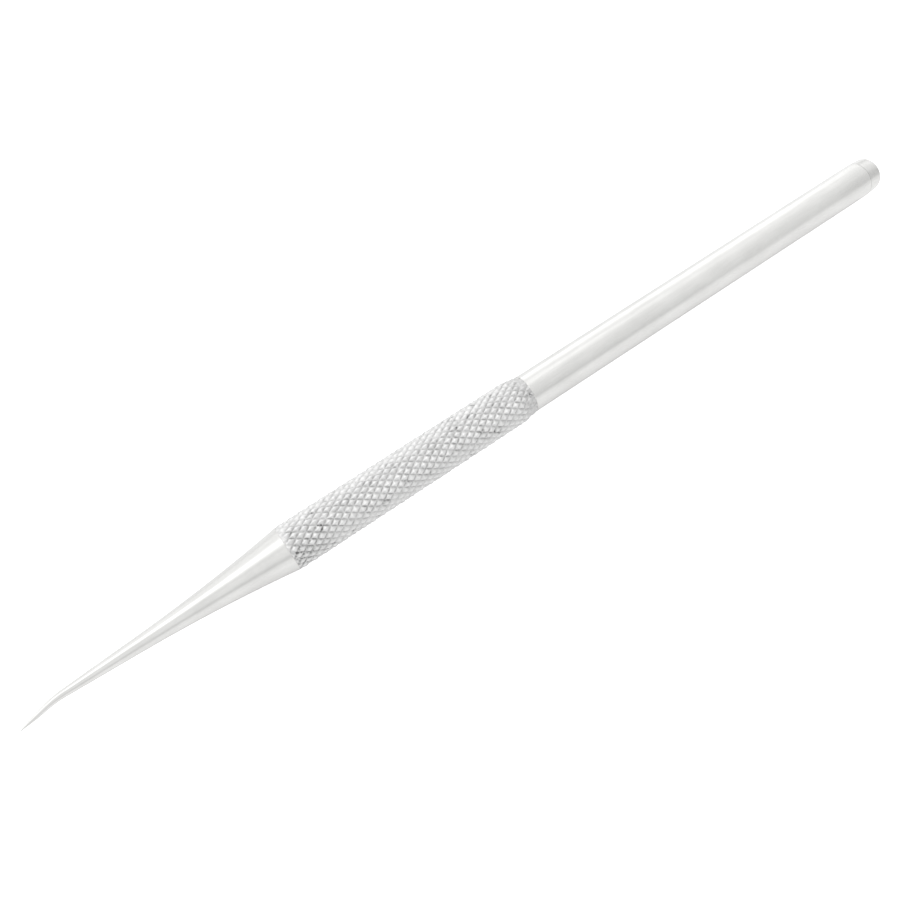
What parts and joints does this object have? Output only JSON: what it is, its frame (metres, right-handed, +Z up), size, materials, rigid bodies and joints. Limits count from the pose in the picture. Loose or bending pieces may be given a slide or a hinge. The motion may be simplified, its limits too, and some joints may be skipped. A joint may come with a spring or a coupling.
{
  "type": "scratch awl",
  "caption": "All-steel scratch awl: slim tapered point with a slightly bent needle tip, diamond-knurled grip and a plain round tail with a blunt rounded end.",
  "frame": {"origin": "bottom centre of the awl's box: on the surface it lies on, halfway between the needle tip and the tail end, under the awl's axis", "axes": "+X along the awl's axis, from the needle tip towards the tail; +Z up from the surface it lies on; the tip is bent sideways, towards -Y"},
  "size_m": [0.1526, 0.0068, 0.0069],
  "materials": {
    "polished_steel": "polished stainless steel with very fine turning marks",
    "knurled_steel": "diamond-knurled stainless steel, bright crests and darker grooves"
  },
  "bodies": {
    "root": {"point": "polished_steel", "knurled_grip": "knurled_steel", "tail_tube": "polished_steel", "end_plug": "polished_steel"}
  },
  "joints": []
}
